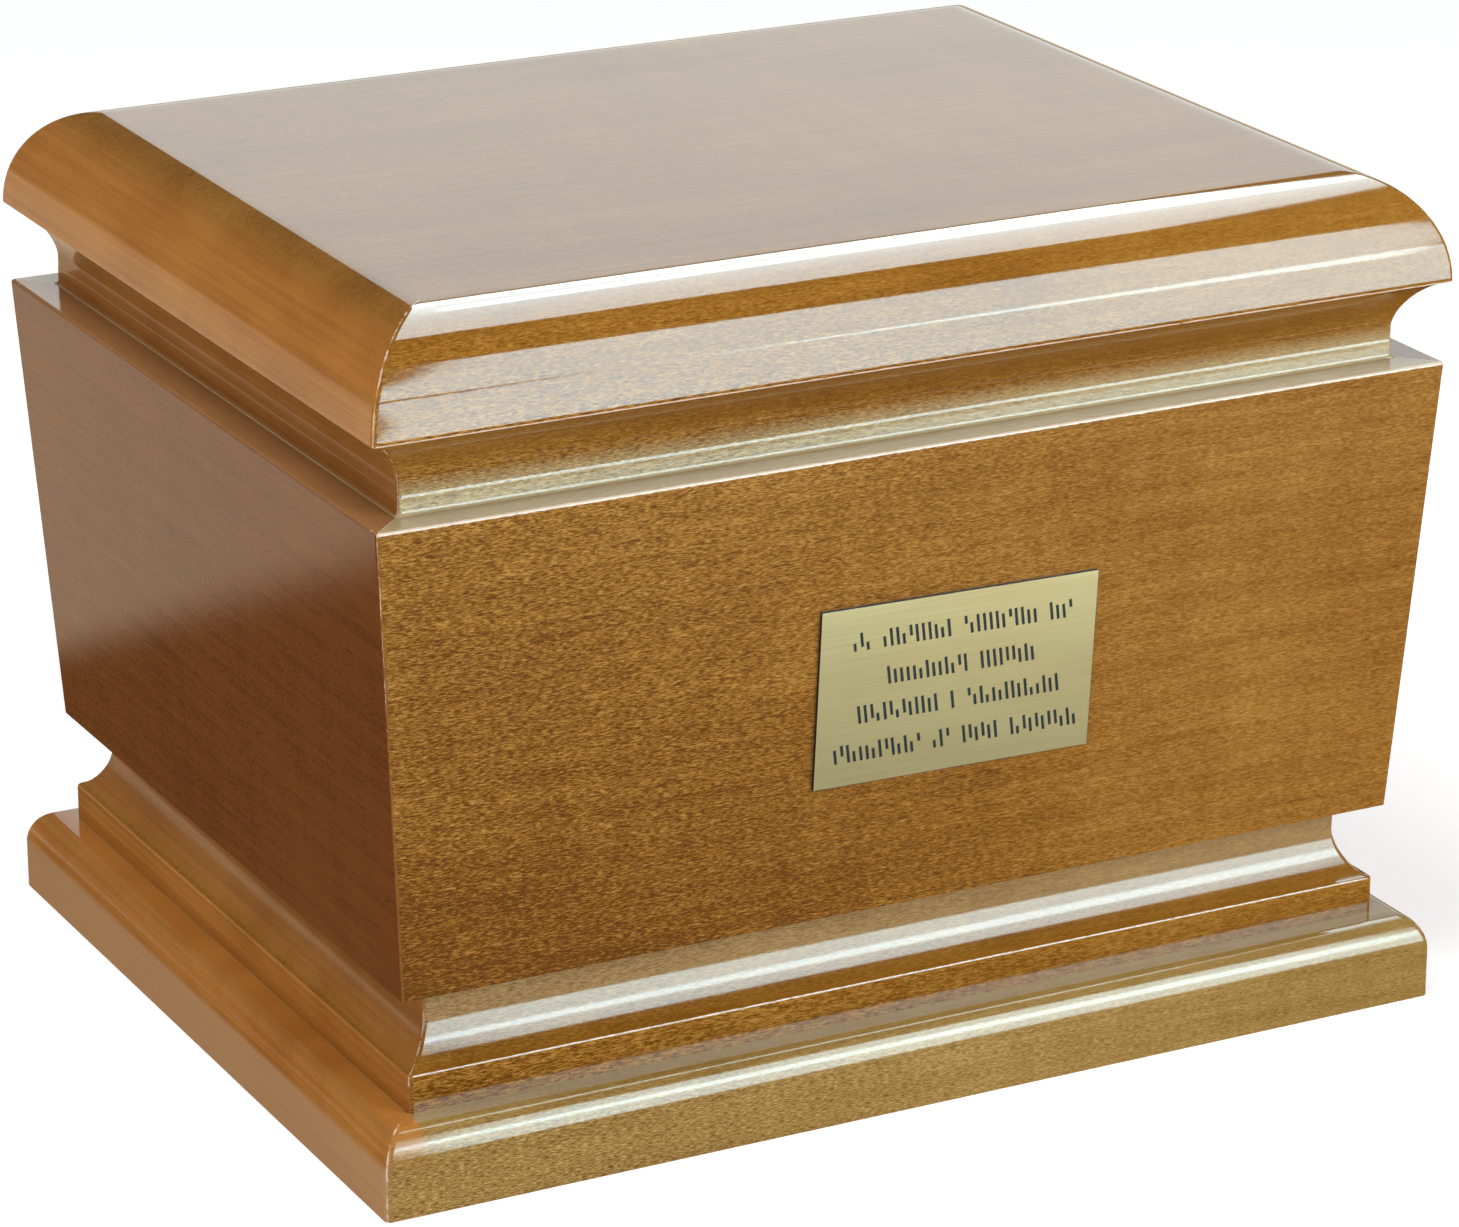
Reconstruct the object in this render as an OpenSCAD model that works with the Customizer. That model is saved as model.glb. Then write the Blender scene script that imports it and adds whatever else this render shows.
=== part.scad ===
// Wooden cremation urn box: a moulded lid that lifts off a tapered box,
// which stands on a coved base moulding and a plinth board.
// Millimetres, +Z up. The origin is the middle of the plinth's underside,
// with the front (the side with the name plate) facing -Y.

/* [Box] */
// Width of the box at its top edge
body_w = 288; // [220:1:340]
// Depth of the box at its top edge
body_d = 232; // [180:1:280]
// Height of the box's side boards
body_h = 118.5; // [90:0.5:180]
// How far each side leans in from its top edge to its foot
lean = 7.3; // [2:0.1:12]
// Thickness of the side boards, measured level
side_t = 18; // [15:0.5:24]
// Thickness of the floor board
floor_t = 9; // [5:0.5:16]

/* [Lid] */
// How far the lid's widest edge stands out past the box's top edge
lid_over = 1; // [0:0.5:6]
// Width of the ledge left bare around the lid's neck
ledge = 9.5; // [4:0.5:12]
// Height of the straight neck below the lid's cove
lid_neck_h = 8; // [3:0.5:16]
// Height of the cove under the lid's edge
lid_cove_h = 12.5; // [6:0.5:20]
// Height of the lid's rounded edge
lid_round_h = 26; // [16:0.5:34]
// Width of the lid's rounded edge, from the widest edge to the flat top
lid_round_run = 21.5; // [12:0.5:30]
// Thickness of wood left over the hollow in the lid
lid_top_t = 22; // [16:0.5:30]
// Depth of the tongue that drops into the box's mouth
tongue_h = 6; // [3:0.5:12]
// Thickness of the tongue
tongue_t = 8; // [5:0.5:12]
// Clearance between the tongue and the mouth
lid_fit = 0.8; // [0.6:0.1:2]

/* [Base moulding] */
// How far the neck is set in from the foot of the box
neck_in = 9.2; // [4:0.1:14]
// Height of the straight neck under the box
neck_h = 8.5; // [4:0.5:20]
// How far the cove flares out below the neck
cove_run = 7.5; // [4:0.5:14]
// Height of the cove
cove_h = 11.5; // [5:0.5:18]
// Height of the flat fillet below the cove
fillet_h = 9.5; // [4:0.5:16]

/* [Plinth] */
// How far the plinth stands out past the fillet
plinth_out = 11; // [8:0.5:20]
// Thickness of the plinth board
plinth_t = 21.5; // [14:0.5:34]
// Width of the rounding on the plinth's upper edge
plinth_round_run = 6; // [3:0.5:7]
// Height of the rounding on the plinth's upper edge
plinth_round_h = 8.5; // [4:0.5:12]

/* [Name plate] */
// Width of the plate
plate_w = 76; // [50:1:100]
// Height of the plate
plate_h = 46; // [30:1:60]
// Thickness of the plate
plate_t = 0.8; // [0.5:0.1:2]
// How far right of the middle the plate's centre is
plate_x = 8.4; // [-20:0.1:20]
// Height of the plate's centre above the foot of the box
plate_up = 57; // [40:0.5:90]
// How far the plate was turned out of level when it was fixed, in degrees
plate_turn = 0.9; // [0:0.1:3]

/* [Hidden] */

// Fullness of a curve: 2 is a true ellipse, less is flatter across the corner
round_power = 2;
plinth_power = 1.8;
cove_power = 1.6;
// Flats that make up each curve
curve_steps = 16;
// How far cutting shapes run past what they cut
spare = 1;

// Levels, from the surface up
fillet_z = plinth_t;
cove_z = fillet_z + fillet_h;
neck_z = cove_z + cove_h;
foot_z = neck_z + neck_h;
mouth_z = foot_z + body_h;
lip_z = mouth_z + lid_neck_h + lid_cove_h;
lid_z = lip_z + lid_round_h;
hollow_z = lid_z - lid_top_t;

// Half sizes as [across X, across Y] at each level
mouth_half = [body_w / 2, body_d / 2];
foot_half = mouth_half - [lean, lean];
neck_half = foot_half - [neck_in, neck_in];
fillet_half = neck_half + [cove_run, cove_run];
plinth_half = fillet_half + [plinth_out, plinth_out];
lid_half = mouth_half + [lid_over, lid_over];
side_half = [side_t, side_t];
tongue_half = mouth_half - side_half - [lid_fit, lid_fit];
hollow_half = tongue_half - [tongue_t, tongue_t];

// Inset of the box's sides at a height above its foot
function side_inset(up) = lean * (body_h - up) / body_h;

// One quarter of a superellipse, as [inset, height] points that start upright
// at [0, 0] and end level at [run, rise]
function bow(run, rise, power) = [for (i = [0:curve_steps])
    let (a = 90 * i / curve_steps)
    [run * (1 - pow(cos(a), 2 / power)), rise * pow(sin(a), 2 / power)]];

// A hollow that starts upright at [run, 0] and ends level at [0, rise]
function cove_out(run, rise) = [for (p = bow(run, rise, cove_power))
    [run - p[0], p[1]]];

// A hollow that starts level at [0, 0] and ends upright at [run, rise]
function cove_in(run, rise) = let (points = cove_out(run, rise))
    [for (i = [curve_steps:-1:0]) [points[i][0], rise - points[i][1]]];

function lifted(points, z) = [for (p = points) [p[0], p[1] + z]];
function after_first(points) = [for (i = [1:len(points) - 1]) points[i]];

// Both edges of a section whose half width is half less each point's inset
function section(half, edge) = concat(
    [for (p = edge) [half - p[0], p[1]]],
    [for (i = [len(edge) - 1:-1:0]) [edge[i][0] - half, edge[i][1]]]);

// A block with the same edge on all four sides, mitred at its corners
module moulded_block(half, edge) {
    intersection() {
        rotate([90, 0, 90])
            linear_extrude(2 * half[0], center = true)
                polygon(section(half[1], edge));
        rotate([90, 0, 0])
            linear_extrude(2 * half[1], center = true)
                polygon(section(half[0], edge));
    }
}

// A plain block between two levels
module block(half, z_low, z_high) {
    translate([-half[0], -half[1], z_low])
        cube([2 * half[0], 2 * half[1], z_high - z_low]);
}

// A block whose sides lean as the box's do, with its mouth at half
module leaning_block(half, z_low, z_high) {
    moulded_block(half + [spare, spare], [
        [spare + side_inset(z_low - foot_z), z_low],
        [spare + side_inset(z_high - foot_z), z_high]]);
}

// A side board across the front of a box with its mouth at half, cut at its
// ends by upright mitres
module side_board(half) {
    deep = side_t + lean + spare;
    intersection() {
        rotate([90, 0, 90])
            linear_extrude(2 * half[0], center = true)
                polygon([
                    [lean - half[1], foot_z],
                    [-half[1], mouth_z],
                    [side_t - half[1], mouth_z],
                    [lean + side_t - half[1], foot_z]]);
        linear_extrude(mouth_z + spare)
            polygon([
                [-half[0] - spare, -half[1] - spare],
                [half[0] + spare, -half[1] - spare],
                [half[0] - deep, deep - half[1]],
                [deep - half[0], deep - half[1]]]);
    }
}

module plinth() {
    round_z = plinth_t - plinth_round_h;
    round_edge = lifted(bow(plinth_round_run, plinth_round_h, plinth_power), round_z);
    color("peru") moulded_block(plinth_half, concat([[0, 0]], round_edge));
}

module base_moulding() {
    cove = lifted(cove_in(cove_run, cove_h), cove_z);
    edge = concat([[0, fillet_z]], cove, [[cove_run, foot_z]]);
    color("sienna") moulded_block(fillet_half, edge);
}

module box_floor() {
    color("burlywood")
        leaning_block(mouth_half - side_half, foot_z, foot_z + floor_t);
}

module front_board() {
    color("peru") side_board(mouth_half);
}

module back_board() {
    color("peru") mirror([0, 1, 0]) side_board(mouth_half);
}

module left_board() {
    color("sienna") rotate([0, 0, -90]) side_board([mouth_half[1], mouth_half[0]]);
}

module right_board() {
    color("sienna") rotate([0, 0, 90]) side_board([mouth_half[1], mouth_half[0]]);
}

// One thick board, moulded round its edge and hollowed from below
module lid() {
    lid_cove_run = lid_over + ledge;
    cove = lifted(cove_out(lid_cove_run, lid_cove_h), mouth_z + lid_neck_h);
    round_edge = lifted(bow(lid_round_run, lid_round_h, round_power), lip_z);
    edge = concat([[lid_cove_run, mouth_z]], cove, after_first(round_edge));
    color("peru") difference() {
        union() {
            moulded_block(lid_half, edge);
            block(tongue_half, mouth_z - tongue_h, mouth_z + lid_neck_h);
        }
        block(hollow_half, mouth_z - tongue_h - spare, hollow_z);
    }
}

// A flat plate that lies on the leaning front board
module name_plate() {
    face_y = side_inset(plate_up) - mouth_half[1];
    color("gold") translate([plate_x, face_y, foot_z + plate_up])
        rotate([atan(lean / body_h), 0, 0])
            rotate([0, plate_turn, 0])
                translate([-plate_w / 2, -plate_t, -plate_h / 2])
                    cube([plate_w, plate_t, plate_h]);
}

plinth();
base_moulding();
box_floor();
front_board();
back_board();
left_board();
right_board();
lid();
name_plate();
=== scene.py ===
import math
import random

import bpy
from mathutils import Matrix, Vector


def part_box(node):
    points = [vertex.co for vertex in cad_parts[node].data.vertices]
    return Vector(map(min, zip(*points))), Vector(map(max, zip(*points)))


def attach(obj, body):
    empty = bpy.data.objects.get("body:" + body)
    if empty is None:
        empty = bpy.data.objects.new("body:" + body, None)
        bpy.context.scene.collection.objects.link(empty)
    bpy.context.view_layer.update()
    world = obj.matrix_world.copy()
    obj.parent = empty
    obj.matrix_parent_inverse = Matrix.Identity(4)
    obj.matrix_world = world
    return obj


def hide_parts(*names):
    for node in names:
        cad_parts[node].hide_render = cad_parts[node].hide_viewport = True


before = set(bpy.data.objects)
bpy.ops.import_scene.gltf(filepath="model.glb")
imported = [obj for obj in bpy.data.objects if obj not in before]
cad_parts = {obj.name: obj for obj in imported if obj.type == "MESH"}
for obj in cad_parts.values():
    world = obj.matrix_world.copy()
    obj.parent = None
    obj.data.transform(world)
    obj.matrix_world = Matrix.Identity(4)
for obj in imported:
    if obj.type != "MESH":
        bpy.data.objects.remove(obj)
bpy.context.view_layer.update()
mm = 0.001
print("frame loaded:", sorted(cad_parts))


def span(node):
    # a node's lowest and highest corners, in millimetres
    return [[round(value / mm, 3) for value in corner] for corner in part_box(node)]


# Profiles are lists of (inset from the widest edge, height), in millimetres.

def bow(run, rise, power, steps=16):
    # a quarter curve that starts upright at (0, 0) and ends level at (run, rise)
    turns = [math.pi / 2 * i / steps for i in range(steps + 1)]
    across = [run * (1 - abs(math.cos(turn)) ** (2 / power)) for turn in turns]
    up = [rise * math.sin(turn) ** (2 / power) for turn in turns]
    return list(zip(across, up))


def coveOut(run, rise, power):
    # a hollow that starts upright at (run, 0) and ends level at (0, rise)
    return [(run - inset, height) for inset, height in bow(run, rise, power)]


def coveIn(run, rise, power):
    # a hollow that starts level at (0, 0) and ends upright at (run, rise)
    return [(inset, rise - height) for inset, height in reversed(coveOut(run, rise, power))]


def raised(points, height):
    return [(inset, z + height) for inset, z in points]


sharpTurn = math.radians(30)  # an outline that turns by more than this has an arris there


def easeArrises(points, radius, steps=4):
    # rounds each sharp corner of an outline, as a few strokes of sandpaper do
    lengths = [0.0]
    for start, end in zip(points, points[1:]):
        lengths.append(lengths[-1] + math.dist(start, end))

    def pointAt(length):
        for i in range(len(points) - 1):
            if length <= lengths[i + 1]:
                share = (length - lengths[i]) / (lengths[i + 1] - lengths[i])
                return Vector(points[i]).lerp(Vector(points[i + 1]), share)
        return Vector(points[-1])

    corners = []
    for i in range(1, len(points) - 1):
        before = Vector(points[i]) - Vector(points[i - 1])
        after = Vector(points[i + 1]) - Vector(points[i])
        if before.angle(after) > sharpTurn:
            corners.append(i)
    eased = []
    for i, point in enumerate(points):
        if i in corners:
            start = pointAt(lengths[i] - radius)
            end = pointAt(lengths[i] + radius)
            corner = Vector(point)
            for step in range(steps + 1):
                share = step / steps
                eased.append(tuple(start.lerp(corner, share).lerp(corner.lerp(end, share), share)))
        elif all(abs(lengths[i] - lengths[c]) > radius for c in corners):
            eased.append(tuple(point))
    return eased


def clearSelection():
    if bpy.context.object and bpy.context.object.mode == "EDIT":
        bpy.ops.object.mode_set(mode="OBJECT")
    bpy.ops.object.select_all(action="DESELECT")


def pick(piece):
    # makes a piece the only one that the operators act on
    clearSelection()
    bpy.context.view_layer.objects.active = piece
    piece.select_set(True)


mergeGap = 0.002  # mm: points closer than this become one
cornerSteps = 4


def stackRings(name, half, sizes, sharpOutline, hollow=False):
    # a mitred moulding: one plan ring per outline point, each extruded from the last
    clearSelection()
    outline = easeArrises(sharpOutline, sizes["ease"])
    inset, height = outline[0]
    bpy.ops.mesh.primitive_plane_add(size=2)
    piece = bpy.context.object
    piece.name = piece.data.name = name
    bpy.ops.object.mode_set(mode="EDIT")
    bpy.ops.mesh.select_all(action="SELECT")
    bpy.ops.transform.resize(value=((half[0] - inset) * mm, (half[1] - inset) * mm, 1))
    bpy.ops.transform.translate(value=(0, 0, height * mm))
    bpy.ops.mesh.bevel(offset=sizes["corner"] * mm, segments=cornerSteps, affect="VERTICES")
    bpy.ops.mesh.select_all(action="SELECT")
    if hollow:
        bpy.ops.mesh.delete(type="ONLY_FACE")
        bpy.ops.mesh.select_all(action="SELECT")
    for (insetA, heightA), (insetB, heightB) in zip(outline, outline[1:]):
        lift = {"value": (0, 0, (heightB - heightA) * mm)}
        bpy.ops.mesh.extrude_region_move(TRANSFORM_OT_translate=lift)
        grow = [(half[i] - insetB) / (half[i] - insetA) for i in (0, 1)]
        bpy.ops.transform.resize(value=(grow[0], grow[1], 1))
    bpy.ops.mesh.select_all(action="SELECT")
    bpy.ops.mesh.remove_doubles(threshold=mergeGap * mm)
    bpy.ops.mesh.normals_make_consistent(inside=False)
    bpy.ops.object.mode_set(mode="OBJECT")
    markWearAndSheen(piece, half, sizes, sharpOutline)
    return piece


# pale arrises: partly rubbed lacquer, partly a painted highlight, strongest on the front
wearAndSheenMarks = {
    "arris": 1.0,          # how pale an arris is painted: rubbed lacquer and a painted highlight
    "mitre": 0.75,         # and the corner between two sides
    "awayFromFront": 0.3,  # the share of that on the other three sides
    "mitreShare": 0.4,     # how much of the corner's rounding counts as the mitre
    "shortest": 0.3,       # mm: an outline's shorter stretches have no arris
    "endReach": 0.9,       # mm around an outline's ends, where flat faces start, that stay whole
}


def markWearAndSheen(piece, half, sizes, outline):
    # stores on each point how pale its arris is painted: lacquer rubbed thin and a painted highlight
    arrises = []
    for before, point, after in zip(outline, outline[1:], outline[2:]):
        arriving = Vector(point) - Vector(before)
        leaving = Vector(after) - Vector(point)
        outward = arriving.cross(leaving) < 0
        longEnough = min(arriving.length, leaving.length) > wearAndSheenMarks["shortest"]
        if arriving.angle(leaving) > sharpTurn and outward and longEnough:
            arrises.append(point)
    mitreWidth = sizes["corner"] * wearAndSheenMarks["mitreShare"]
    wear = piece.data.attributes.new("wear", "FLOAT", "POINT")
    for vertex, mark in zip(piece.data.vertices, wear.data):
        x, y, z = vertex.co / mm
        insetX = half[0] - abs(x)
        insetY = half[1] - abs(y)
        spot = (min(insetX, insetY), z)
        if any(math.dist(spot, end) < wearAndSheenMarks["endReach"] for end in (outline[0], outline[-1])):
            mark.value = 0.0
        elif any(math.dist(spot, arris) < sizes["rub"] for arris in arrises):
            mark.value = wearAndSheenMarks["arris"]
        elif abs(insetX - insetY) < mitreWidth:
            mark.value = wearAndSheenMarks["mitre"]
        front = y < 0 and insetY < insetX + mitreWidth
        if not front:
            mark.value *= wearAndSheenMarks["awayFromFront"]


def declare(piece, node):
    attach(piece, "root")
    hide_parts(node)
    print("made", piece.name, len(piece.data.polygons), "faces")


smoothBelow = math.radians(35)


def finishPiece(piece, node, finish):
    # smooth over its curves, flat on its flats, and with its own finish
    pick(piece)
    bpy.ops.object.shade_smooth_by_angle(angle=smoothBelow)
    weighted = piece.modifiers.new("flats", "WEIGHTED_NORMAL")
    weighted.keep_sharp = True
    bpy.ops.object.modifier_apply(modifier=weighted.name)
    piece.data.materials.clear()
    piece.data.materials.append(finish.material)
    declare(piece, node)


class Flow:
    # a socket that can be used in sums: each operator adds its Math node
    def __init__(self, finish, socket):
        self.finish = finish
        self.socket = socket

    def maths(self, operation, first, second=0.0):
        return self.finish.add("ShaderNodeMath", {"operation": operation}, {0: first, 1: second})

    def __add__(self, other):
        return self.maths("ADD", self, other)

    def __radd__(self, other):
        return self.maths("ADD", other, self)

    def __sub__(self, other):
        return self.maths("SUBTRACT", self, other)

    def __rsub__(self, other):
        return self.maths("SUBTRACT", other, self)

    def __mul__(self, other):
        return self.maths("MULTIPLY", self, other)

    def __rmul__(self, other):
        return self.maths("MULTIPLY", other, self)

    def __truediv__(self, other):
        return self.maths("DIVIDE", self, other)

    def __pow__(self, other):
        return self.maths("POWER", self, other)

    def __abs__(self):
        return self.maths("ABSOLUTE", self)

    def fract(self):
        return self.maths("FRACT", self)

    def most(self, other):
        return self.maths("MAXIMUM", self, other)

    def between(self, low, high):
        # 0 at low, 1 at high, smooth in between
        return self.finish.add(
            "ShaderNodeMapRange", {"interpolation_type": "SMOOTHSTEP"},
            {"Value": self, "From Min": low, "From Max": high})


class Finish:
    # a material, or the world, and the nodes that make it
    def __init__(self, name, holder=None):
        self.material = holder or bpy.data.materials.new(name)
        self.material.use_nodes = True
        self.nodes = self.material.node_tree.nodes
        self.links = self.material.node_tree.links
        self.shader = self.nodes["Background" if holder else "Principled BSDF"]

    def put(self, socket, value):
        if isinstance(value, Flow):
            self.links.new(value.socket, socket)
        else:
            socket.default_value = value

    def setShader(self, **values):
        # the shader's own sockets: baseColor goes to Base Color
        for name, value in values.items():
            spaced = "".join(" " + letter if letter.isupper() else letter for letter in name)
            self.put(self.shader.inputs[spaced[0].upper() + spaced[1:]], value)

    def add(self, kind, settings=None, inputs=None, output=0):
        node = self.nodes.new(kind)
        for setting, value in (settings or {}).items():
            if setting == "stops":
                ramp = node.color_ramp
                while len(ramp.elements) < len(value):
                    ramp.elements.new(0.5)
                for element, (position, colour) in zip(ramp.elements, value):
                    element.position = position
                    element.color = (*colour, 1)
            else:
                setattr(node, setting, value)
        for socket, value in (inputs or {}).items():
            self.put(node.inputs[socket], value)
        return Flow(self, node.outputs[output])

    def blend(self, factor, first, second):
        # sockets 6 and 7 of the Mix node are its two colours, and output 2 is the mixed one
        first, second = [(*c, 1) if isinstance(c, tuple) else c for c in (first, second)]
        return self.add("ShaderNodeMix", {"data_type": "RGBA"}, {0: factor, 6: first, 7: second}, 2)

    def noise(self, size, detail=2.0, roughness=0.5, shift=0.0):
        # size: length of the pattern's cells along X, Y and Z, in millimetres
        coords = self.add("ShaderNodeTexCoord", output="Object")
        scale = tuple(1 / (length * mm) for length in size)
        stretched = self.add(
            "ShaderNodeMapping", None,
            {"Vector": coords, "Location": (shift, shift * 0.7, shift * 1.3), "Scale": scale})
        return self.add(
            "ShaderNodeTexNoise", {"noise_dimensions": "3D"},
            {"Vector": stretched, "Scale": 1.0, "Detail": detail, "Roughness": roughness})

    def bump(self, height):
        # height in millimetres
        return self.add(
            "ShaderNodeBump", None, {"Strength": 1.0, "Distance": mm, "Height": height})

    def axes(self, output="Object"):
        source = self.add("ShaderNodeTexCoord", output=output)
        parts = self.add("ShaderNodeSeparateXYZ", None, {0: source})
        return [Flow(self, parts.socket.node.outputs[i]) for i in range(3)]


# The patterns in the wood: the size of their cells along the grain, across it and up, in
# millimetres, then their detail, their roughness and how far they are shifted.
patterns = {
    "sway": ((220, 110, 110), 1, 0.5, 3),
    "wobble": ((45, 9, 9), 2, 0.5, 5),
    "blotch": ((120, 40, 40), 2, 0.5, 0),
    "streak": ((40, 1.8, 1.8), 3, 0.6, 9),
    "fibre": ((4.5, 0.4, 0.4), 2, 0.6, 11),
    "fleck": ((1.7, 0.26, 0.26), 2, 0.7, 13),
    "ripple": ((9, 60, 60), 1, 0.5, 15),
    "pores": ((0.6, 0.6, 0.6), 2, 0.6, 2),
    "layers": ((90, 90, 1.1), 3, 0.6, 4),
    "patches": ((2.4, 2.4, 2.4), 2, 0.6, 41),
    "peel": ((9, 3.2, 3.2), 1, 0.5, 31),
    "openPores": ((4, 0.6, 0.6), 2, 0.6, 33),
}

woodLook = {
    "ringPitch": 9.0,        # mm between growth rings
    "pith": (60.0, -210.0),  # where the heart of the tree was, across and up, in mm
    "ringSway": 30.0,        # mm that the rings wander over a long way
    "ringWobble": 2.0,       # mm that they wander over a short way
    "tone": 0.52,            # how light the wood is on the whole, then how much each pattern changes it
    "ringDepth": 0.05,
    "blotch": 0.35,
    "streak": 0.35,
    "ripple": 0.14,
    "fibre": 0.4,
    "fleck": 2.4,
    "leftEnd": (-120, 110),  # mm: the figure is strong left of the first X and plain past the second
    "plainFlecks": 0.6,      # the share of the flecks that shows at the plain end
    "leftFlecks": 0.7,       # and the share that is added toward the left
    "topFlecks": 0.3,        # and how much of it all shows on a level face
    "leftShade": 0.06,       # how much darker the left end of a board is
    "lowShade": 0.0,         # painted shade: how much darker its lower left is, between the next two levels in mm
    "lowPart": (45, 150),
    "dark": (0.115, 0.038, 0.004),
    "middle": (0.272, 0.114, 0.0125),
    "light": (0.47, 0.25, 0.05),
    "endDark": (0.29, 0.092, 0.012),
    "endLight": (0.49, 0.20, 0.04),
    "endTone": 0.55,         # how light the end grain is, then how much each pattern changes it
    "endBlotch": 0.6,
    "endPores": 0.4,
    "endLayers": 0.75,
    "endRings": 0.05,
    "cappedFrom": None,      # the X, in mm, left of which a flat top is as orange as the end
    "paleBand": None,        # painted reflection: two levels in mm, and the colour that the side turns to between them
    "endBand": None,         # painted reflection too, the same on end grain
    "paintedCoveShade": None,       # painted shade under a lip: a hollow's foot, its full shade and its top, in mm
    "stain": 0.35,           # how much the painted shade darkens that hollow
    # the pale colour of an arris: rubbed lacquer and a painted highlight
    "worn": (0.82, 0.68, 0.55),
    "wornRough": 0.15,       # how much duller a rubbed arris is than the lacquer
    "roughness": 0.11,
    "peel": 0.006,           # mm, height of the lacquer's orange peel
    "poreDepth": 0.003,      # mm
}


class Wood(Finish):
    # lacquered wood: rings and figure, end grain, bands of painted reflection and painted shade, and
    # rubbed arrises that also carry a painted highlight
    def __init__(self, name, grain="x", shift=0.0, **changes):
        super().__init__(name)
        self.look = {**woodLook, **changes}
        self.grain = grain
        self.shift = shift
        self.x, self.y, self.z = [axis / mm for axis in self.axes()]
        self.facing = [abs(axis) for axis in self.axes("Normal")]
        self.blotch = self.pattern("blotch") - 0.5
        self.lateWood = self.rings()
        self.tone = self.figure()
        self.endGrain = self.endFacing()
        self.worn = self.rubbed()
        colour = self.blend(self.endGrain, self.sideColour(), self.endColour())
        colour = self.paintedLightBands(colour)
        # arrises turn pale: rubbed lacquer and a painted highlight
        colour = self.blend(self.worn * 0.75, colour, self.look["worn"])
        gloss = self.look["roughness"] + self.endGrain * 0.06 + abs(self.blotch) * 0.03
        rough = gloss + self.worn * self.look["wornRough"]
        self.setShader(baseColor=colour, roughness=rough, normal=self.surface())
        self.shader.inputs["IOR"].default_value = 1.5

    def pattern(self, name):
        (along, across, up), detail, roughness, shift = patterns[name]
        cells = (along, across, up) if self.grain == "x" else (across, along, up)
        return self.noise(cells, detail, roughness, self.shift + shift)

    def rings(self):
        # growth rings: high in the dark late wood of each ring
        across = self.y if self.grain == "x" else self.x
        pithAcross, pithUp = self.look["pith"]
        radius = ((across - pithAcross) ** 2 + (self.z - pithUp) ** 2) ** 0.5
        sway = (self.pattern("sway") - 0.5) * self.look["ringSway"]
        wobble = (self.pattern("wobble") - 0.5) * self.look["ringWobble"]
        ring = ((radius + sway + wobble) / self.look["ringPitch"]).fract()
        return ring.between(0.3, 0.93) - ring.between(0.93, 1.0) - 0.4

    def figure(self):
        # how light the wood is: its figure is stronger toward the left, where the wood is darker, and a
        # board's lower left is darkened as painted shade
        look = self.look
        leftward = 1 - self.x.between(*look["leftEnd"])
        low = 1 - self.z.between(*look["lowPart"])
        share = leftward * look["leftFlecks"] + look["plainFlecks"]
        flecks = (self.pattern("fleck") - 0.5) * share * look["fleck"]
        upright = 1 - self.facing[2] * (1 - look["topFlecks"])
        fine = ((self.pattern("fibre") - 0.5) * look["fibre"] + flecks) * upright
        streaks = (self.pattern("streak") - 0.5) * look["streak"]
        ripples = (self.pattern("ripple") - 0.5) * look["ripple"]
        # the rings darken the wood, and the lower left gets painted shade
        shade = self.lateWood * look["ringDepth"] + leftward * (low * look["lowShade"] + look["leftShade"])
        return self.blotch * look["blotch"] + streaks + ripples + fine + look["tone"] - shade

    def sideColour(self):
        look = self.look
        stops = [(0.1, look["dark"]), (0.5, look["middle"]), (0.95, look["light"])]
        return self.add("ShaderNodeValToRGB", {"stops": stops}, {"Fac": self.tone})

    def endFacing(self):
        # 1 where a face looks along the grain
        endGrain = self.facing[0 if self.grain == "x" else 1].between(0.25, 0.85)
        edge = self.look["cappedFrom"]
        if edge is None:
            return endGrain
        capped = 1 - self.x.between(edge - 2, edge)
        return endGrain.most(capped * self.facing[2])

    def endColour(self):
        # end grain is more orange and more even
        look = self.look
        pores = (self.pattern("pores") - 0.5) * look["endPores"]
        layers = (self.pattern("layers") - 0.5) * look["endLayers"]
        rings = self.lateWood * look["endRings"]
        tone = self.blotch * look["endBlotch"] + pores + layers - rings + look["endTone"]
        return self.blend(tone.between(0.1, 0.95), look["endDark"], look["endLight"])

    def paintedLightBands(self, colour):
        look = self.look
        if look["paleBand"]:
            low, high, sheenColour = look["paleBand"]
            paintedSheen = self.z.between(low, high) * (1 - self.endGrain) * 0.85
            # painted reflection: the side turns pale between two levels
            colour = self.blend(paintedSheen, colour, self.blend(self.tone * 0.6 + 0.35, look["dark"], sheenColour))
        if look["endBand"]:
            low, high, sheenColour = look["endBand"]
            # painted reflection on the end grain
            colour = self.blend(self.z.between(low, high) * self.endGrain * 0.7, colour, sheenColour)
        if look["paintedCoveShade"]:
            # painted shade: the hollow is darkened as if shaded by the lip above it
            foot, full, top = look["paintedCoveShade"]
            shadedCove = self.z.between(foot, full) * (1 - self.z.between(top - 0.3, top))
            colour = self.blend(shadedCove * look["stain"], colour, look["dark"])
        return colour

    def rubbed(self):
        # rubbed arrises that also carry a painted highlight, broken up where the lacquer has held
        wear = self.add("ShaderNodeAttribute", {"attribute_name": "wear"}, output="Fac")
        patchy = (self.pattern("patches") - 0.5) * 1.6
        return (wear - 0.3 + patchy).between(0.15, 0.55) * wear.between(0, 0.5)

    def surface(self):
        # orange peel and open pores, both fainter on level faces
        peel = self.pattern("peel") * self.look["peel"]
        pores = self.pattern("openPores") * self.look["poreDepth"]
        return self.bump((peel + pores) * (1 - self.facing[2].between(0.85, 1.0) * 0.9))


# the plinth: a board with a rounded upper edge

plinthBoard = {
    "roundRun": 6, "roundRise": 8.5, "roundPower": 1.8,
    "flat": (3, 4),  # how far the flat underside and top are carried in before they close
    "corner": 1.6, "ease": 0.5, "rub": 0.25,
}
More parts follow.
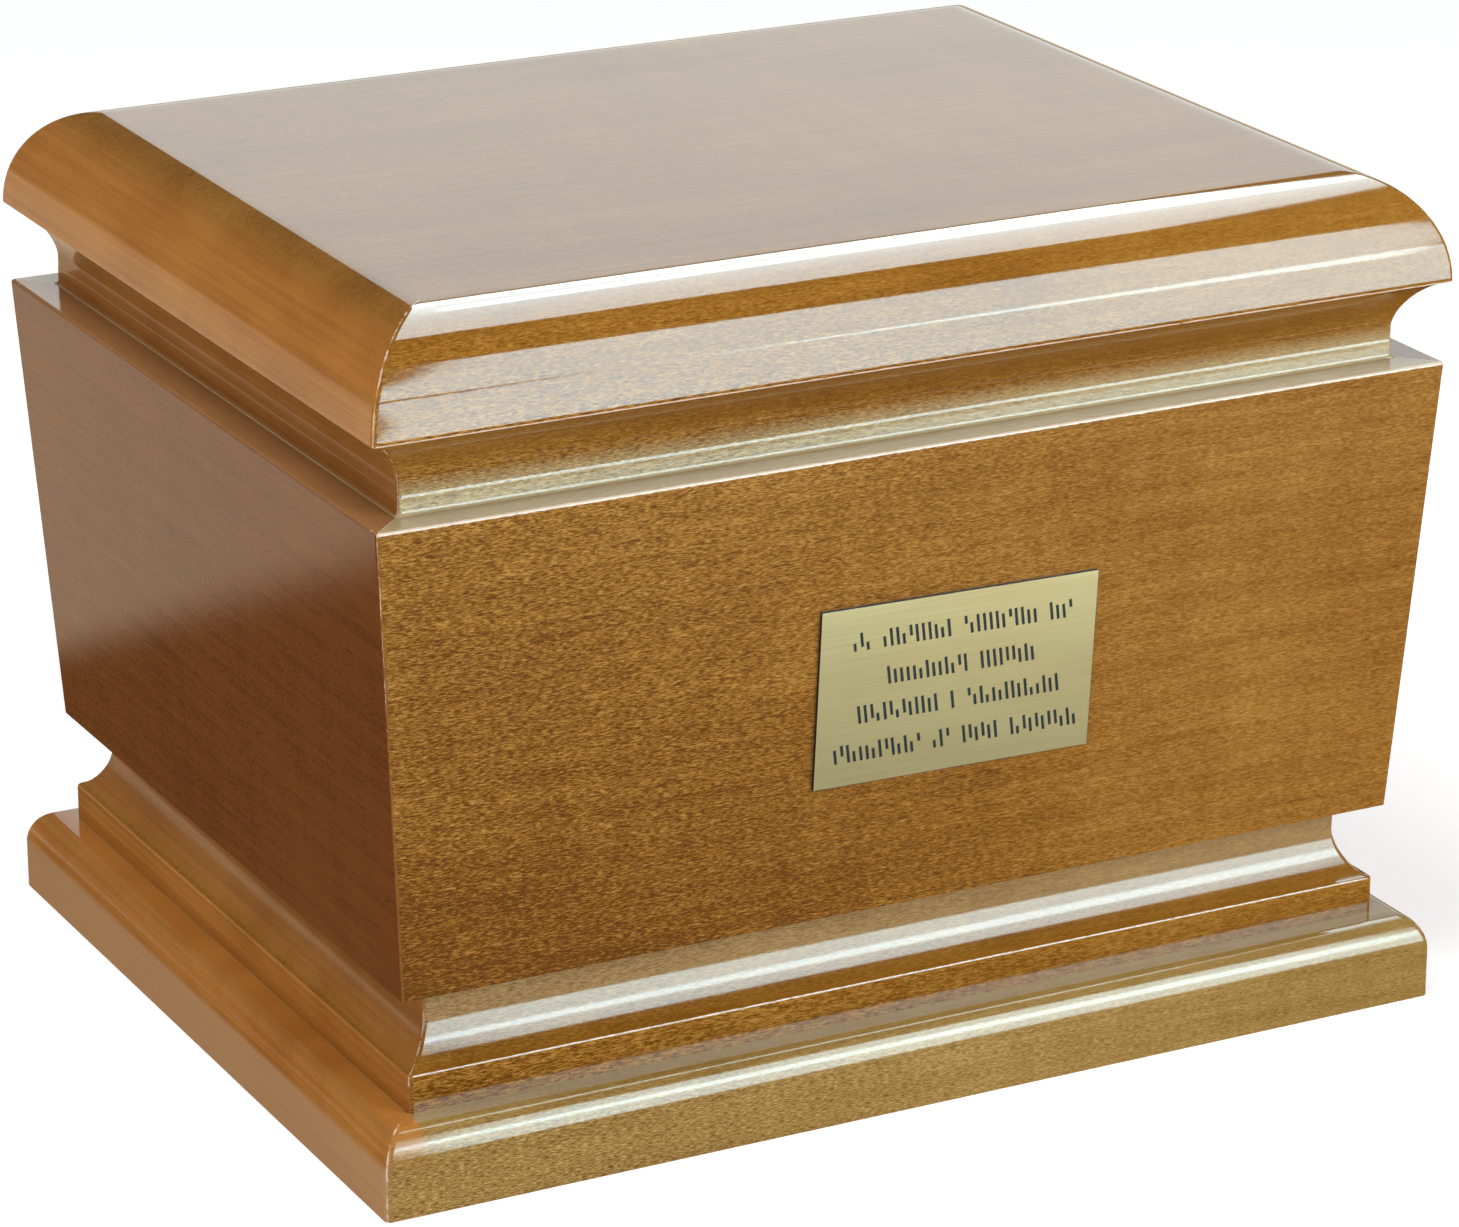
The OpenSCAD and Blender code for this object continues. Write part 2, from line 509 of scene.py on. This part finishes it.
# a painted reflection turns the lower part of the board's ends pale
plinthWood = Wood(
    "plinthWood", shift=61.0, cappedFrom=-134.0, endBand=(15, 13, (0.50, 0.30, 0.15)),
    dark=(0.16, 0.08, 0.018), middle=(0.30, 0.18, 0.048), light=(0.48, 0.34, 0.13))


def makePlinth(sizes):
    low, high = span("plinth")
    edge = bow(sizes["roundRun"], sizes["roundRise"], sizes["roundPower"])
    outline = [
        (sizes["flat"][0], low[2]), (0, low[2]),
        *raised(edge, high[2] - sizes["roundRise"]),
        (sizes["roundRun"] + sizes["flat"][1], high[2]),
    ]
    return stackRings("plinthBoard", high[:2], sizes, outline)


finishPiece(makePlinth(plinthBoard), "plinth", plinthWood)

# the base moulding: fillet, cove and neck

moulding = {
    "fillet": 9.5, "coveRun": 7.5, "coveRise": 11.5, "covePower": 1.6,
    "corner": 1.4, "ease": 0.7, "rub": 0.3,
}
# a painted reflection turns the neck above the cove pale
mouldingWood = Wood("mouldingWood", shift=47.0, paleBand=(36, 42, (0.50, 0.36, 0.165)))


def makeMoulding(sizes):
    low, high = span("base_moulding")
    cove = coveIn(sizes["coveRun"], sizes["coveRise"], sizes["covePower"])
    outline = [(0, low[2]), *raised(cove, low[2] + sizes["fillet"]), (sizes["coveRun"], high[2])]
    return stackRings("baseMoulding", high[:2], sizes, outline)


finishPiece(makeMoulding(moulding), "base_moulding", mouldingWood)

# the box: four leaning boards, mitred at the corners, on a floor board

sides = {
    "lean": 7.3,    # how far each side leans in from its mouth to its foot
    "thick": 18, "corner": 0.9, "ease": 0.9, "rub": 0.75,
    "joint": 0.04,  # the open line at each mitre
    "boards": {"frontBoard": (0, -1), "backBoard": (0, 1), "leftBoard": (-1, 0), "rightBoard": (1, 0)},
}
# painted shade darkens the front board's lower left; a painted reflection turns the ledge at its mouth
# pale
boxFrontWood = Wood(
    "boxFrontWood", shift=14.0, pith=(40.0, -60.0), roughness=0.2, lowShade=0.28,
    paleBand=(168.9, 169.4, (0.72, 0.6, 0.36)))
# a painted reflection turns the ledge at the mouth pale
boxSideWood = Wood(
    "boxSideWood", grain="y", shift=31.0, roughness=0.13, fleck=0.5, fibre=0.15, poreDepth=0.005,
    dark=(0.09, 0.023, 0.0042), middle=(0.18, 0.055, 0.011), light=(0.26, 0.095, 0.02),
    paleBand=(168.9, 169.4, (0.5, 0.26, 0.1)))
insideWood = Wood(
    "insideWood", shift=77.0, roughness=0.6,
    dark=(0.35, 0.2, 0.1), middle=(0.5, 0.33, 0.18), light=(0.62, 0.45, 0.27))

boxFoot = span("front_board")[0][2]
boxMouth = span("front_board")[1][2]
boxHalf = (span("right_board")[1][0], span("back_board")[1][1])


def makeShell(sizes):
    # all four sides in one, as a hollow ring
    lean = sizes["lean"]
    thick = sizes["thick"]
    outline = [
        (lean, boxFoot), (0, boxMouth), (thick, boxMouth), (lean + thick, boxFoot), (lean, boxFoot)]
    return stackRings("boxShell", boxHalf, sizes, outline, hollow=True)


def cutBoard(shell, name, out, joint):
    # one side of the shell, cut off at the mitre planes of its two ends
    board = shell.copy()
    board.data = shell.data.copy()
    board.name = board.data.name = name
    bpy.context.collection.objects.link(board)
    pick(board)
    bpy.ops.object.mode_set(mode="EDIT")
    for turn in (-1, 1):
        side = Vector((out[1] * turn, out[0] * turn, 0))
        corner = Vector(((out[0] + side.x) * boxHalf[0], (out[1] + side.y) * boxHalf[1], 0)) * mm
        away = (side - Vector((*out, 0))).normalized()
        bpy.ops.mesh.select_all(action="SELECT")
        bpy.ops.mesh.bisect(plane_co=corner - away * joint * mm, plane_no=away,
                            use_fill=True, clear_outer=True)
    bpy.ops.mesh.select_all(action="SELECT")
    bpy.ops.mesh.normals_make_consistent(inside=False)
    bpy.ops.object.mode_set(mode="OBJECT")
    return board


shell = makeShell(sides)
for name, out in sides["boards"].items():
    board = cutBoard(shell, name, out, sides["joint"])
    boardWood = boxFrontWood if out[0] == 0 else boxSideWood
    finishPiece(board, name.replace("Board", "_board"), boardWood)
bpy.data.objects.remove(shell)

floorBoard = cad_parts["box_floor"]
floorBoard.data.materials.clear()
floorBoard.data.materials.append(insideWood.material)
print("floor board finished")

# the lid: one thick board, hollowed from below, with a tongue

lidBlock = {
    "footHollow": 1.1,  # the small hollow at the foot of the neck
    "proud": 0.08, "stepUp": 4.2,  # how far the neck's lower part stands out, and up to where
    "coveRun": 10.5, "coveRise": 12.5, "covePower": 1.6,
    "roundRun": 21.5, "roundRise": 26, "roundPower": 2, "flat": 3,
    "tongueInset": 19.8, "tongueThick": 8, "topThick": 22,
    "roundSteps": 24, "hollowSteps": 5,
    "corner": 1.0, "ease": 0.6, "rub": 0.35,
}
# a painted reflection turns the neck's lower part pale, and painted shade darkens the cove under the lip
lidWood = Wood(
    "lidWood", shift=2.0, ringPitch=13.0, roughness=0.055, poreDepth=0.0015,
    paleBand=(179.5, 171.5, (0.87, 0.77, 0.45)), paintedCoveShade=(178, 184, 190.2))


def neckOutline(sizes):
    # the straight neck under the cove, from the box's mouth up
    strip = sizes["coveRun"] - sizes["proud"]
    hollow = sizes["footHollow"]
    steps = sizes["hollowSteps"]
    turns = [math.pi / 2 * i / steps for i in range(steps + 1)]
    stepZ = boxMouth + sizes["stepUp"]
    return [
        *[(strip - hollow * (1 - math.sin(turn)), boxMouth + hollow * (1 - math.cos(turn)))
          for turn in turns],
        (strip, stepZ), (sizes["coveRun"], stepZ + sizes["proud"]),
    ]


def makeLid(sizes):
    low, high = span("lid")
    lipZ = high[2] - sizes["roundRise"]
    inner = sizes["tongueInset"] + sizes["tongueThick"]
    cove = coveOut(sizes["coveRun"], sizes["coveRise"], sizes["covePower"])
    edge = bow(sizes["roundRun"], sizes["roundRise"], sizes["roundPower"], sizes["roundSteps"])
    outline = [
        (inner, high[2] - sizes["topThick"]), (inner, low[2]),
        (sizes["tongueInset"], low[2]), (sizes["tongueInset"], boxMouth),
        *neckOutline(sizes),
        *raised(cove, lipZ - sizes["coveRise"]),
        *raised(edge, lipZ)[1:],
        (sizes["roundRun"] + sizes["flat"], high[2]),
    ]
    return stackRings("lidBlock", high[:2], sizes, outline)


finishPiece(makeLid(lidBlock), "lid", lidWood)

# the name plate: brushed brass with rows of shallow blackened strokes

plate = {
    "width": 76, "height": 46, "thick": 0.8, "ease": 0.12,
    "across": 8.4, "up": 57,  # where its middle is: right of the box's middle, and above the box's foot
    "turn": 0.9,              # degrees out of level
    "cut": 0.16, "strokeWide": 0.78, "strokeTall": 4.7, "slant": 9, "seed": 5,
    "shorter": (1.0, 1.0, 0.8, 0.6, 0.45),  # shares of strokeTall, drawn by lot for each stroke
    "rise": (-0.5, -0.5, 0.5),              # on the row's foot, or on its top
    "pitch": 1.75, "gap": 1.6,  # between strokes in mm, and between groups in strokes
    # each row: its middle, its height above the plate's middle and the strokes in each group
    "rows": [(1.0, 14.1, (3, 11, 12, 4)), (0.9, 4.3, (13, 9)), (0.8, -4.9, (13, 1, 15)),
             (0.6, -14.6, (14, 3, 6, 11))],
}
brassLook = {"dull": (0.86, 0.54, 0.24), "bright": (1.0, 0.76, 0.40), "roughness": 0.38}
enamelLook = {"colour": (0.012, 0.011, 0.01), "roughness": 0.5}


def brassFinish(look):
    # brushed along its width, with a faint haze
    brass = Finish("brass")
    brush = brass.noise((34, 2, 0.16), 3, 0.6, 5) - 0.5
    haze = brass.noise((50, 50, 30), 1, 0.5, 8) - 0.5
    shade = (brush * 0.8 + haze * 0.6 + 0.5).between(0, 1)
    brass.setShader(
        baseColor=brass.blend(shade, look["dull"], look["bright"]), metallic=1.0,
        roughness=brush * 0.12 + look["roughness"], normal=brass.bump(brush * 0.012))
    return brass.material


def enamelFinish(look):
    # the black in the strokes
    enamel = Finish("enamel")
    grit = enamel.noise((1, 1, 1), 2) - 0.5
    enamel.setShader(baseColor=(*look["colour"], 1), roughness=grit * 0.3 + look["roughness"])
    return enamel.material


def newMesh(name):
    # an empty piece, left in edit mode
    piece = bpy.data.objects.new(name, bpy.data.meshes.new(name))
    bpy.context.collection.objects.link(piece)
    pick(piece)
    bpy.ops.object.mode_set(mode="EDIT")
    return piece


def addBlock(width, depth, height, centre):
    # in edit mode: a block of that size, in millimetres, left selected
    bpy.ops.mesh.select_all(action="DESELECT")
    bpy.ops.mesh.primitive_cube_add(size=mm)
    bpy.ops.transform.resize(value=(width, depth, height))
    bpy.ops.transform.translate(value=[c * mm for c in centre])


def makeStrokes(sizes):
    # rows of slanted strokes in groups, each stroke a block that cuts the plate's face
    strokes = newMesh("strokes")
    draw = random.Random(sizes["seed"])
    for middle, level, groups in sizes["rows"]:
        slots = sum(groups) + sizes["gap"] * (len(groups) - 1)
        at = middle - slots * sizes["pitch"] / 2
        for count in groups:
            for stroke in range(count):
                tall = sizes["strokeTall"] * draw.choice(sizes["shorter"])
                lift = draw.choice(sizes["rise"]) * (sizes["strokeTall"] - tall)
                centre = (at + sizes["pitch"] / 2, -sizes["thick"], level + lift)
                addBlock(sizes["strokeWide"], 2 * sizes["cut"], tall, centre)
                bpy.ops.transform.rotate(value=math.radians(sizes["slant"]), orient_axis="Y",
                                         center_override=[c * mm for c in centre])
                at += sizes["pitch"]
            at += sizes["gap"] * sizes["pitch"]
    bpy.ops.object.mode_set(mode="OBJECT")
    return strokes


def engrave(plaque, strokes):
    cut = plaque.modifiers.new("engrave", "BOOLEAN")
    cut.operation = "DIFFERENCE"
    cut.solver = "EXACT"
    cut.object = strokes
    cut.material_mode = "TRANSFER"
    cut.use_self = True
    pick(plaque)
    bpy.ops.object.modifier_apply(modifier=cut.name)
    bpy.data.objects.remove(strokes)


def makePlate(sizes, brass, enamel):
    plaque = newMesh("namePlate")
    addBlock(sizes["width"], sizes["thick"], sizes["height"], (0, -sizes["thick"] / 2, 0))
    bpy.ops.mesh.bevel(offset=sizes["ease"] * mm, segments=2, affect="EDGES")
    bpy.ops.object.mode_set(mode="OBJECT")
    plaque.data.materials.append(brass)
    plaque.data.materials.append(enamel)
    for face in plaque.data.polygons:
        face.material_index = 0 if abs(face.normal.y) > 0.95 else 1  # the plate's edges are dark
    strokes = makeStrokes(sizes)
    strokes.data.materials.append(enamel)
    engrave(plaque, strokes)
    return plaque


def tipOntoBoard(plaque, sizes):
    # turned a little out of level, then laid on the leaning front board
    boxRise = boxMouth - boxFoot
    lean = math.atan(sides["lean"] / boxRise)
    faceY = sides["lean"] * (boxRise - sizes["up"]) / boxRise - boxHalf[1]
    origin = (0, 0, 0)
    bpy.ops.object.mode_set(mode="EDIT")
    bpy.ops.mesh.select_all(action="SELECT")
    bpy.ops.transform.rotate(value=-math.radians(sizes["turn"]), orient_axis="Y", center_override=origin)
    bpy.ops.transform.rotate(value=-lean, orient_axis="X", center_override=origin)
    bpy.ops.transform.translate(value=(sizes["across"] * mm, faceY * mm, (boxFoot + sizes["up"]) * mm))
    bpy.ops.object.mode_set(mode="OBJECT")


plaque = makePlate(plate, brassFinish(brassLook), enamelFinish(enamelLook))
tipOntoBoard(plaque, plate)
declare(plaque, "name_plate")

# the camera stands in front, to the left, and looks down

camera = {"position": (-0.6256, -1.2167, 0.5773), "azimuth": 62.584, "down": 19.584, "lens": 139.3}


def addCamera(settings):
    azimuth = math.radians(settings["azimuth"])
    down = math.radians(settings["down"])
    level = math.cos(down)
    ahead = Vector((math.cos(azimuth) * level, math.sin(azimuth) * level, -math.sin(down)))
    turn = ahead.to_track_quat("-Z", "Y").to_euler()
    bpy.ops.object.camera_add(location=settings["position"], rotation=turn)
    bpy.context.scene.camera = bpy.context.object
    bpy.context.object.data.lens = settings["lens"]
    bpy.context.object.data.clip_end = 50


addCamera(camera)
print("camera placed")

# the studio: a pale room, white paper, soft lamps and bright cards

studio = {
    "world": (0.93, 0.96, 1.0), "worldLight": 0.2, "worldShine": 0.08,
    "floor": (0.75, 0.75, 0.75), "floorGlow": 0.5, "floorSize": 14,
    # what the lacquer mirrors of the floor: a dark table, and bright paper from this far back
    "paperEdge": 0.27, "paperBlur": 0.02,
    "paperShine": (0.74, 0.62, 0.45), "tableShine": (0.05, 0.03, 0.015),
    # cards that only the lacquer mirrors: centre, width, height, turns in degrees and radiance
    "cards": {
        "lowCard": {"centre": (0.332, -0.61, 0.2045), "size": (0.536, 0.311), "tilt": 0,
                    "radiance": 10.5, "colour": (0.68, 0.94, 1.0)},
        "highCard": {"centre": (0.92, -1.50, 1.17), "size": (0.66, 1.18), "tilt": 0, "roll": 18,
                     "radiance": 10.5, "colour": (0.68, 0.94, 1.0)},
        "cornerCard": {"centre": (-1.0, -0.75, 0.30), "size": (0.9, 0.6), "tilt": 0, "spin": -50,
                       "radiance": 3.5},
        "topCard": {"centre": (1.40, 1.06, 2.52), "size": (0.95, 3.45), "tilt": 115,
                    "radiance": 9.0, "colour": (0.76, 0.98, 1.04)},
        "streakCard": {"centre": (0.81, 0.75, 1.45), "size": (0.56, 0.24), "tilt": 125,
                       "radiance": 11.5, "colour": (0.80, 0.99, 1.03)},
        "backCard": {"centre": (2.475, 3.6, 1.10), "size": (2.85, 1.7), "tilt": 165,
                     "radiance": 1.33, "colour": (0.90, 1.03, 1.05)},
    },
    # soft lamps that only light the wood: position, size and power in watts
    "lamps": {
        "keyLamp": {"position": (1.5, -2.0, 1.15), "size": 1.4, "power": 47},
        "sideLamp": {"position": (-1.0, -0.25, 2.3), "size": 1.5, "power": 40},
    },
    "lampTarget": (0, 0, 0.1),
}


def lightRoom(settings):
    room = Finish("studio", bpy.data.worlds.new("studio"))
    bpy.context.scene.world = room.material
    mirrored = room.add("ShaderNodeLightPath", output="Is Glossy Ray")
    change = settings["worldShine"] - settings["worldLight"]
    room.setShader(color=(*settings["world"], 1), strength=mirrored * change + settings["worldLight"])


def paperFinish(settings):
    # white paper that glows a little, with its own mirror image
    paper = Finish("paper")
    paper.setShader(
        baseColor=(*settings["floor"], 1), roughness=1.0,
        emissionColor=(1, 1, 1, 1), emissionStrength=settings["floorGlow"])
    paper.shader.inputs["Specular IOR Level"].default_value = 0.0
    edge = settings["paperEdge"]
    blur = settings["paperBlur"]
    behind = paper.axes()[1].between(edge - blur, edge + blur)
    shine = paper.blend(behind, settings["tableShine"], settings["paperShine"])
    mirrored = paper.add("ShaderNodeEmission", None, {"Color": shine})
    glossyRay = paper.add("ShaderNodeLightPath", output="Is Glossy Ray")
    plain = Flow(paper, paper.shader.outputs[0])
    both = paper.add("ShaderNodeMixShader", None, {0: glossyRay, 1: plain, 2: mirrored})
    paper.put(paper.nodes["Material Output"].inputs["Surface"], both)
    return paper.material


def addLight(name, position, size, power, turn):
    light = bpy.data.lights.new(name, "AREA")
    light.shape = "RECTANGLE"
    light.size, light.size_y = size
    light.energy = power
    lamp = bpy.data.objects.new(name, light)
    lamp.location = position
    lamp.rotation_euler = turn
    lamp.visible_camera = False
    bpy.context.collection.objects.link(lamp)
    return lamp


bpy.context.scene.view_settings.view_transform = "Standard"
lightRoom(studio)
clearSelection()
bpy.ops.mesh.primitive_plane_add(size=studio["floorSize"])
floor = bpy.context.object
floor.name = "floor"
floor.data.materials.append(paperFinish(studio))
for name, card in studio["cards"].items():
    power = card["radiance"] * math.pi * card["size"][0] * card["size"][1]
    turn = [math.radians(a) for a in (90 - card["tilt"], card.get("roll", 0), card.get("spin", 0))]
    light = addLight(name, card["centre"], card["size"], power, turn)
    light.visible_diffuse = False
    light.data.color = card.get("colour", (1, 1, 1))
for name, lamp in studio["lamps"].items():
    toBox = Vector(studio["lampTarget"]) - Vector(lamp["position"])
    turn = toBox.to_track_quat("-Z", "Y").to_euler()
    light = addLight(name, lamp["position"], (lamp["size"], lamp["size"]), lamp["power"], turn)
    light.visible_glossy = False
print("studio lit")
